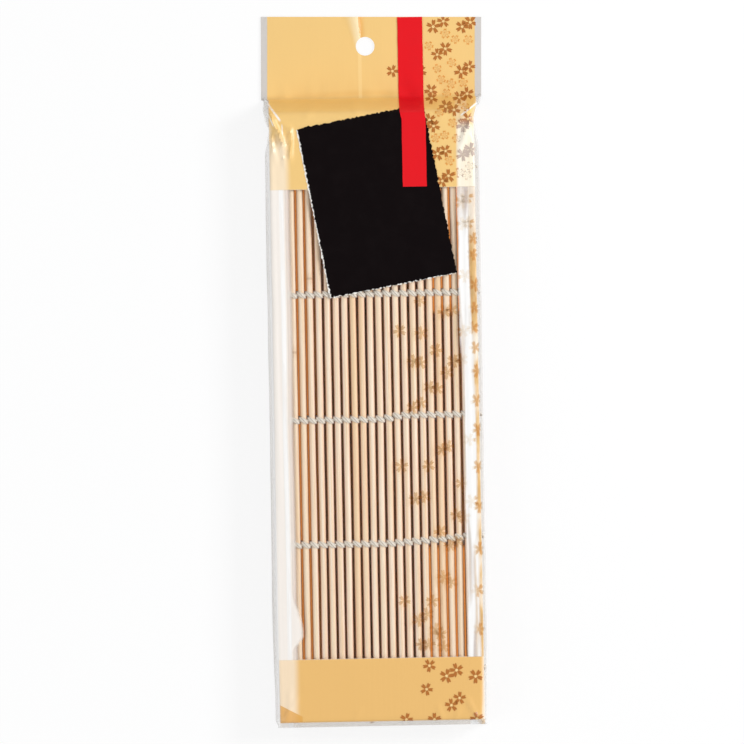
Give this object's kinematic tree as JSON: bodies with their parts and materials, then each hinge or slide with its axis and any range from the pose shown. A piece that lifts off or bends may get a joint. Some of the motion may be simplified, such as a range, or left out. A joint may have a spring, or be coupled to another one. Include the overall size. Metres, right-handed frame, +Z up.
{
  "type": "sushi rolling mat",
  "caption": "Bamboo sushi rolling mat of round slats woven with cotton cord, folded in three inside a flat printed film bag with a hanging header.",
  "frame": {"origin": "middle of the pack's footprint on the surface it lies on, lying on its back", "axes": "+X across the slats to the right of the front, +Y along the slats to the hanging end, +Z up out of the front"},
  "size_m": [0.089, 0.2848, 0.0177],
  "materials": {
    "bamboo": "raw, lightly sanded",
    "cotton": "twisted cotton",
    "clear_film": "clear glossy film",
    "seam_film": "clear glossy film, two layers",
    "printed_film": "glossy film printed yellow",
    "label_paper": "torn white paper edge",
    "label_black": "black, under glossy film",
    "red_film": "glossy red"
  },
  "bodies": {
    "lower_panel": {"lower_slats": "bamboo", "lower_cord_1": "cotton", "lower_cord_2": "cotton", "lower_cord_3": "cotton", "lower_cord_4": "cotton", "lower_cord_5": "cotton", "lower_knots": "cotton"},
    "right_fold_1": {"right_fold_1_slat": "bamboo", "right_fold_1_cords": "cotton"},
    "right_fold_2": {"right_fold_2_slat": "bamboo", "right_fold_2_cords": "cotton"},
    "middle_panel": {"middle_slats": "bamboo", "middle_cord_1": "cotton", "middle_cord_2": "cotton", "middle_cord_3": "cotton", "middle_cord_4": "cotton", "middle_cord_5": "cotton"},
    "left_fold_1": {"left_fold_1_slat": "bamboo", "left_fold_1_cords": "cotton"},
    "left_fold_2": {"left_fold_2_slat": "bamboo", "left_fold_2_cords": "cotton"},
    "upper_panel": {"upper_slats": "bamboo", "upper_cord_1": "cotton", "upper_cord_2": "cotton", "upper_cord_3": "cotton", "upper_cord_4": "cotton", "upper_cord_5": "cotton", "upper_knots": "cotton"},
    "bag": {"back_film": "clear_film", "back_seam": "seam_film", "front_film": "clear_film", "header": "printed_film", "label_backing": "label_paper", "label_face": "label_black", "red_band": "red_film"}
  },
  "joints": [
    {"name": "right_fold_hinge_1", "type": "hinge", "parent": "lower_panel", "child": "right_fold_1", "pos_m": [0.03678, 0, 0.00288], "axis": [0, 1, 0], "range_deg": [0, 60]},
    {"name": "right_fold_hinge_2", "type": "hinge", "parent": "right_fold_1", "child": "right_fold_2", "pos_m": [0.03849, 0, 0.00583], "axis": [0, 1, 0], "range_deg": [0, 60]},
    {"name": "right_fold_hinge_3", "type": "hinge", "parent": "right_fold_2", "child": "middle_panel", "pos_m": [0.03678, 0, 0.00878], "axis": [0, 1, 0], "range_deg": [0, 60]},
    {"name": "left_fold_hinge_1", "type": "hinge", "parent": "middle_panel", "child": "left_fold_1", "pos_m": [-0.03824, 0, 0.00878], "axis": [0, -1, 0], "range_deg": [0, 60]},
    {"name": "left_fold_hinge_2", "type": "hinge", "parent": "left_fold_1", "child": "left_fold_2", "pos_m": [-0.03994, 0, 0.01174], "axis": [0, -1, 0], "range_deg": [0, 60]},
    {"name": "left_fold_hinge_3", "type": "hinge", "parent": "left_fold_2", "child": "upper_panel", "pos_m": [-0.03824, 0, 0.01469], "axis": [0, -1, 0], "range_deg": [0, 60]},
    {"name": "bag_slide", "type": "slide", "parent": "lower_panel", "child": "bag", "axis": [0, 1, 0], "range_m": [0, 0.26], "deforming": ["front_film", "label_backing", "label_face", "red_band"]}
  ],
  "couplings": [
    {"joint": "right_fold_hinge_2", "follows": "right_fold_hinge_1", "ratio": 1},
    {"joint": "right_fold_hinge_3", "follows": "right_fold_hinge_1", "ratio": 1},
    {"joint": "left_fold_hinge_1", "follows": "right_fold_hinge_1", "ratio": 1},
    {"joint": "left_fold_hinge_2", "follows": "right_fold_hinge_1", "ratio": 1},
    {"joint": "left_fold_hinge_3", "follows": "right_fold_hinge_1", "ratio": 1},
    {"joint": "bag_slide", "follows": "right_fold_hinge_1", "m_per_rad": 0.24828}
  ]
}
